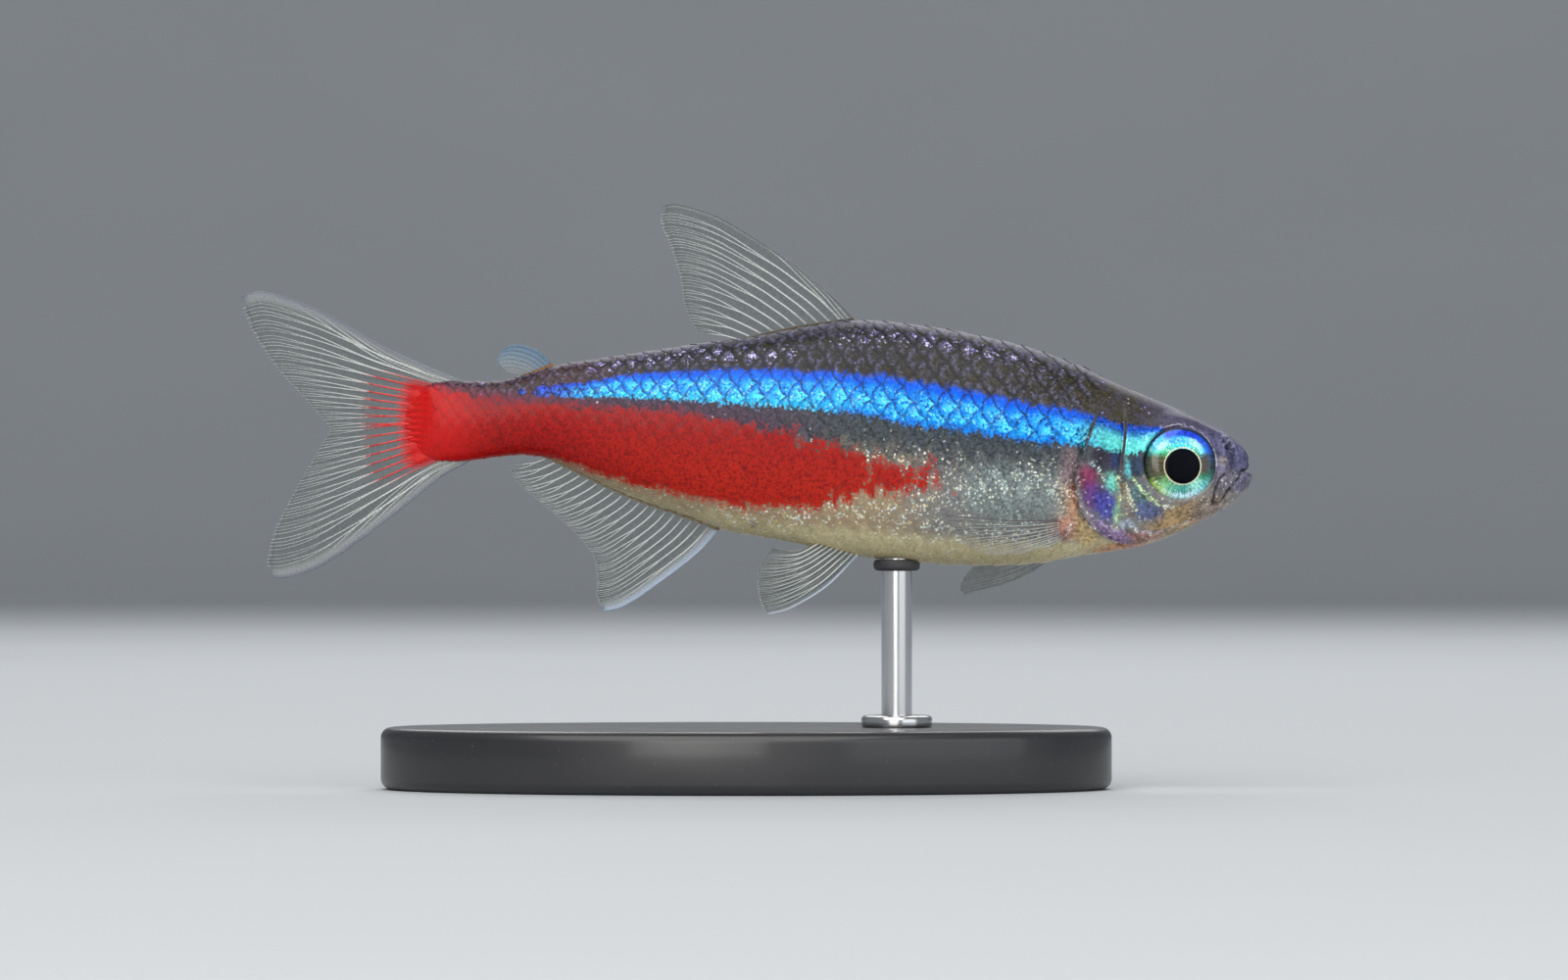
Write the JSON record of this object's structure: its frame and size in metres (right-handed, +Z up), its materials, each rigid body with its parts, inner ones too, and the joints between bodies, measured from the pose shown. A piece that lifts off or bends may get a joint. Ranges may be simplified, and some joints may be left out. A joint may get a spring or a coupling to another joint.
{
  "type": "neon tetra model on a display stand",
  "caption": "Slender small fish with a large eye, clear fins, a glowing blue side stripe and a red rear flank, held level over an oval base by a thin rod.",
  "frame": {"origin": "the middle of the box round the whole object, at the floor: on the underside of the stand", "axes": "+X towards the fish's snout, +Y towards its left flank, +Z up"},
  "size_m": [0.036, 0.014, 0.0207],
  "materials": {
    "back_skin": "scaly skin, olive brown and lavender grey with an electric blue stripe, wet and glossy",
    "tail_skin": "scaly skin, strong red, wet and glossy",
    "gill_plate": "bare skin over bone, shining blue and violet",
    "eye": "clear cornea over a shining blue and green iris with a black pupil",
    "fin_membrane": "clear membrane with pale grey-white rays",
    "stand_black": "black satin acrylic with a polished edge",
    "stand_steel": "polished steel rod"
  },
  "bodies": {
    "root": {"head": "back_skin", "lower_jaw": "back_skin", "eye_right": "eye", "eye_left": "eye", "gill_cover_right": "gill_plate", "gill_cover_left": "gill_plate", "trunk": "back_skin", "tail_stem": "tail_skin", "fin_tail_upper": "fin_membrane", "fin_tail_lower": "fin_membrane", "fin_dorsal": "fin_membrane", "fin_adipose": "fin_membrane", "fin_anal": "fin_membrane", "fin_pectoral_right": "fin_membrane", "fin_pectoral_left": "fin_membrane", "fin_pelvic_right": "fin_membrane", "fin_pelvic_left": "fin_membrane", "stand_base": "stand_black", "stand_rod": "stand_steel"}
  },
  "joints": []
}
